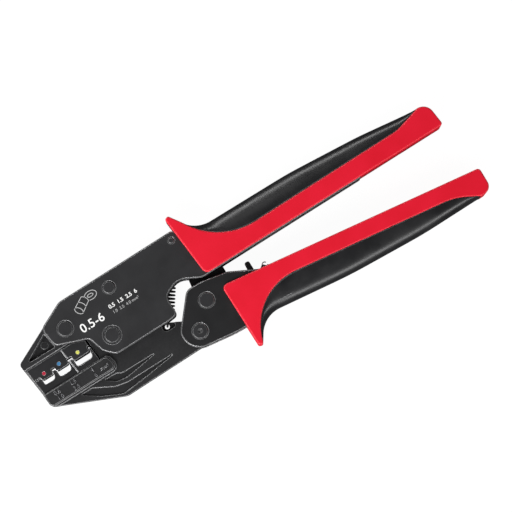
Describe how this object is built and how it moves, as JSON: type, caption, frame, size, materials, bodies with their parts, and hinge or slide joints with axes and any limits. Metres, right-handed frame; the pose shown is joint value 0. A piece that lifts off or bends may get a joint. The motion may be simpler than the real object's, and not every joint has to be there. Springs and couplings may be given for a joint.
{
  "type": "ratchet crimping tool",
  "caption": "Hand ratchet crimper for insulated cable terminals: fixed and moving jaw with nested dies, toggle link, ratchet with release pawl, opening spring, two-part moulded grips",
  "frame": {"origin": "middle of the tool's footprint, on the plane that it lies on", "axes": "+X runs along the fixed handle towards its end, +Y points from the moving jaw to the fixed jaw, +Z comes out of the front plate"},
  "size_m": [0.248, 0.0796, 0.018],
  "materials": {
    "blackened_plate": "satin blackened steel plate, edges worn lighter",
    "blackened_casting": "satin blackened investment-cast steel",
    "blackened_die": "satin blackened hardened steel",
    "blackened_rivet": "satin blackened steel, peened ends",
    "spacer_steel": "turned steel",
    "dowel_steel": "ground steel",
    "link_steel": "blackened steel",
    "ratchet_steel": "blackened hardened steel",
    "spring_black": "oil-blackened spring wire",
    "spring_bright": "bright spring wire",
    "grip_red": "hard moulded red plastic, fine satin",
    "grip_black": "soft-touch thermoplastic elastomer",
    "dot_red": "paint fill",
    "dot_blue": "paint fill",
    "dot_yellow": "paint fill"
  },
  "bodies": {
    "frame": {"front_side_plate": "blackened_plate", "rear_side_plate": "blackened_plate", "fixed_jaw": "blackened_casting", "upper_die": "blackened_die", "upper_die_dowels": "dowel_steel", "die_dot_red": "dot_red", "die_dot_blue": "dot_blue", "die_dot_yellow": "dot_yellow", "jaw_pivot_pin": "blackened_rivet", "jaw_pivot_bushes": "blackened_rivet", "front_jaw_rivet": "blackened_rivet", "upper_jaw_rivet": "blackened_rivet", "spring_anchor_pin": "blackened_rivet", "toggle_pin": "blackened_rivet", "upper_handle_spacers": "spacer_steel", "upper_grip_shell": "grip_red", "upper_grip_back": "grip_black", "opening_spring": "spring_black"},
    "moving_jaw": {"lower_jaw": "blackened_casting", "lower_die": "blackened_die", "lower_die_dowels": "dowel_steel"},
    "moving_handle": {"front_handle_plate": "blackened_plate", "rear_handle_plate": "blackened_plate", "handle_pin": "blackened_rivet", "link_pin": "blackened_rivet", "pawl_pin": "blackened_rivet", "pawl_spring_anchor": "blackened_rivet", "lower_handle_spacers": "spacer_steel", "lower_grip_shell": "grip_red", "lower_grip_back": "grip_black", "pawl_spring": "spring_bright"},
    "toggle_link": {"front_link_plate": "link_steel", "rear_link_plate": "link_steel", "ratchet_sector": "ratchet_steel", "link_rivets": "dowel_steel"},
    "pawl": {"ratchet_pawl": "blackened_casting", "pawl_spring_stud": "spring_bright"}
  },
  "joints": [
    {"name": "jaw_pivot", "type": "hinge", "parent": "frame", "child": "moving_jaw", "pos_m": [-0.07678, 0.00434, 0.009], "axis": [0, 0, 1], "range_deg": [0, 9], "deforming": ["opening_spring"]},
    {"name": "handle_pivot", "type": "hinge", "parent": "moving_jaw", "child": "moving_handle", "pos_m": [-0.03838, -0.01756, 0.009], "axis": [0, 0, 1], "range_deg": [-46, 0]},
    {"name": "link_pivot", "type": "hinge", "parent": "moving_handle", "child": "toggle_link", "pos_m": [-0.02738, -0.00616, 0.009], "axis": [0, 0, 1], "range_deg": [0, 57]},
    {"name": "pawl_pivot", "type": "hinge", "parent": "moving_handle", "child": "pawl", "pos_m": [-0.00078, -0.01216, 0.009], "axis": [0, 0, 1], "range_deg": [-12, 0], "deforming": ["pawl_spring"]}
  ],
  "couplings": [
    {"joint": "jaw_pivot", "follows": "handle_pivot", "ratio": -0.19},
    {"joint": "link_pivot", "follows": "handle_pivot", "ratio": -1.215}
  ]
}
